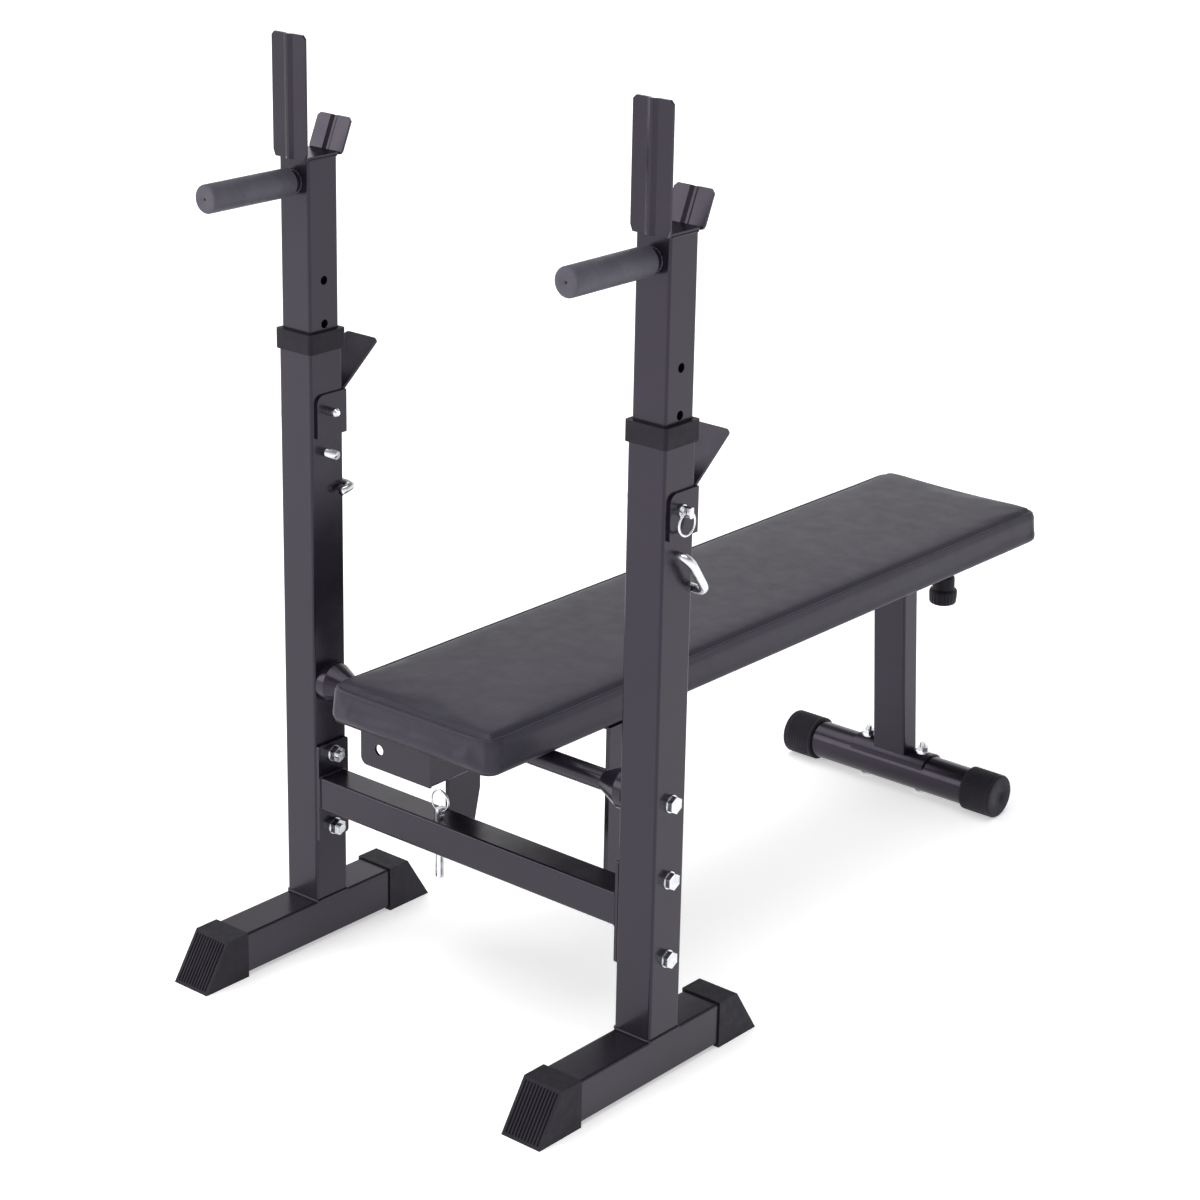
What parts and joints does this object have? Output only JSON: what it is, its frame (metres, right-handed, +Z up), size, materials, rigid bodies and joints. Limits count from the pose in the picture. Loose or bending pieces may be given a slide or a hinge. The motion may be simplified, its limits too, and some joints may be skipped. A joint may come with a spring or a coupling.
{
  "type": "olympic bench press",
  "caption": "Folding weight bench with a fixed square-tube rack, height-adjustable bar masts with dip handles, and a flat padded bench.",
  "frame": {"origin": "on the floor, under the centre of the overall length and width", "axes": "+Z up, +Y along the bench from the rack towards the rear leg, +X to the right of someone looking along +Y"},
  "size_m": [0.6002, 1.172, 1.082],
  "materials": {
    "paint": "satin",
    "plastic": "matte",
    "rubber": "matte",
    "zinc": "bright zinc",
    "vinyl": "fine grain vinyl",
    "board": "black stained"
  },
  "bodies": {
    "rack": {"foot_bar_left": "paint", "foot_bar_right": "paint", "foot_cap_front_left": "plastic", "foot_cap_rear_left": "plastic", "foot_cap_front_right": "plastic", "foot_cap_rear_right": "plastic", "post_left": "paint", "post_right": "paint", "collar_left": "plastic", "collar_right": "plastic", "cross_tube": "paint", "rack_bolts": "zinc", "rack_washers": "zinc", "rack_nuts": "zinc", "pivot_bolts": "zinc", "pivot_washers": "zinc", "spotter_left": "paint", "spotter_right": "paint"},
    "mast_left": {"mast_left": "paint", "mast_glide_left": "plastic", "bar_hook_left": "paint", "dip_bar_left": "paint", "grip_left": "rubber"},
    "mast_right": {"mast_right": "paint", "mast_glide_right": "plastic", "bar_hook_right": "paint", "dip_bar_right": "paint", "grip_right": "rubber"},
    "spotter_pin_left": {"spotter_pin_left": "zinc"},
    "spotter_pin_right": {"spotter_pin_right": "zinc"},
    "spotter_ring_left": {"spotter_ring_left": "zinc"},
    "spotter_ring_right": {"spotter_ring_right": "zinc"},
    "u_pin_left": {"u_pin_left": "zinc"},
    "u_pin_right": {"u_pin_right": "zinc"},
    "lock_pin": {"lock_pin": "zinc"},
    "lock_ring": {"lock_ring": "zinc"},
    "bench": {"main_beam": "paint", "lock_tab": "paint", "pivot_bar": "paint", "pad_strips": "paint", "side_stays": "paint", "pad_board": "board", "pad_cushion": "vinyl", "pad_screws": "zinc", "beam_end_plug": "plastic", "leg_hinge_bolt": "zinc", "leg_hinge_nut": "zinc"},
    "rear_leg": {"leg_bracket": "paint", "leg_post": "paint", "saddle": "paint", "rear_foot_tube": "paint", "rear_foot_cap_left": "plastic", "rear_foot_cap_right": "plastic", "foot_bolts": "zinc", "foot_washers": "zinc", "foot_nuts": "zinc"},
    "leg_knob": {"clamp_knob": "plastic", "clamp_stud": "zinc"}
  },
  "joints": [
    {"name": "mast_height_left", "type": "slide", "parent": "rack", "child": "mast_left", "axis": [0, 0, 1], "range_m": [-0.15, 0.15]},
    {"name": "spotter_pin_pull_left", "type": "slide", "parent": "rack", "child": "spotter_pin_left", "axis": [-1, 0, 0], "range_m": [0, 0.075]},
    {"name": "spotter_ring_swing_left", "type": "hinge", "parent": "spotter_pin_left", "child": "spotter_ring_left", "pos_m": [-0.2905, -0.38, 0.657], "axis": [0, 1, 0], "range_deg": [0, 80]},
    {"name": "u_pin_swing_left", "type": "hinge", "parent": "rack", "child": "u_pin_left", "pos_m": [-0.255, -0.38, 0.607], "axis": [1, 0, 0], "range_deg": [0, 60]},
    {"name": "mast_height_right", "type": "slide", "parent": "rack", "child": "mast_right", "axis": [0, 0, 1], "range_m": [-0.15, 0.15]},
    {"name": "spotter_pin_pull_right", "type": "slide", "parent": "rack", "child": "spotter_pin_right", "axis": [1, 0, 0], "range_m": [0, 0.075]},
    {"name": "spotter_ring_swing_right", "type": "hinge", "parent": "spotter_pin_right", "child": "spotter_ring_right", "pos_m": [0.2905, -0.38, 0.657], "axis": [0, -1, 0], "range_deg": [0, 80]},
    {"name": "u_pin_swing_right", "type": "hinge", "parent": "rack", "child": "u_pin_right", "pos_m": [0.255, -0.38, 0.607], "axis": [1, 0, 0], "range_deg": [0, 60]},
    {"name": "lock_pin_pull", "type": "slide", "parent": "rack", "child": "lock_pin", "axis": [0, 0, 1], "range_m": [0, 0.06]},
    {"name": "lock_ring_swing", "type": "hinge", "parent": "lock_pin", "child": "lock_ring", "pos_m": [-0.052, -0.383, 0.2195], "axis": [1, 0, 0], "range_deg": [-85, 85]},
    {"name": "bench_fold", "type": "hinge", "parent": "rack", "child": "bench", "pos_m": [0, -0.38, 0.329], "axis": [1, 0, 0], "range_deg": [0, 65]},
    {"name": "leg_fold", "type": "hinge", "parent": "bench", "child": "rear_leg", "pos_m": [0, 0.396, 0.322], "axis": [1, 0, 0], "range_deg": [-90, 0]},
    {"name": "leg_lock_pull", "type": "slide", "parent": "rear_leg", "child": "leg_knob", "axis": [0, 0, -1], "range_m": [0, 0.01], "stiffness_N_per_m": 400, "springref_m": -0.02}
  ]
}
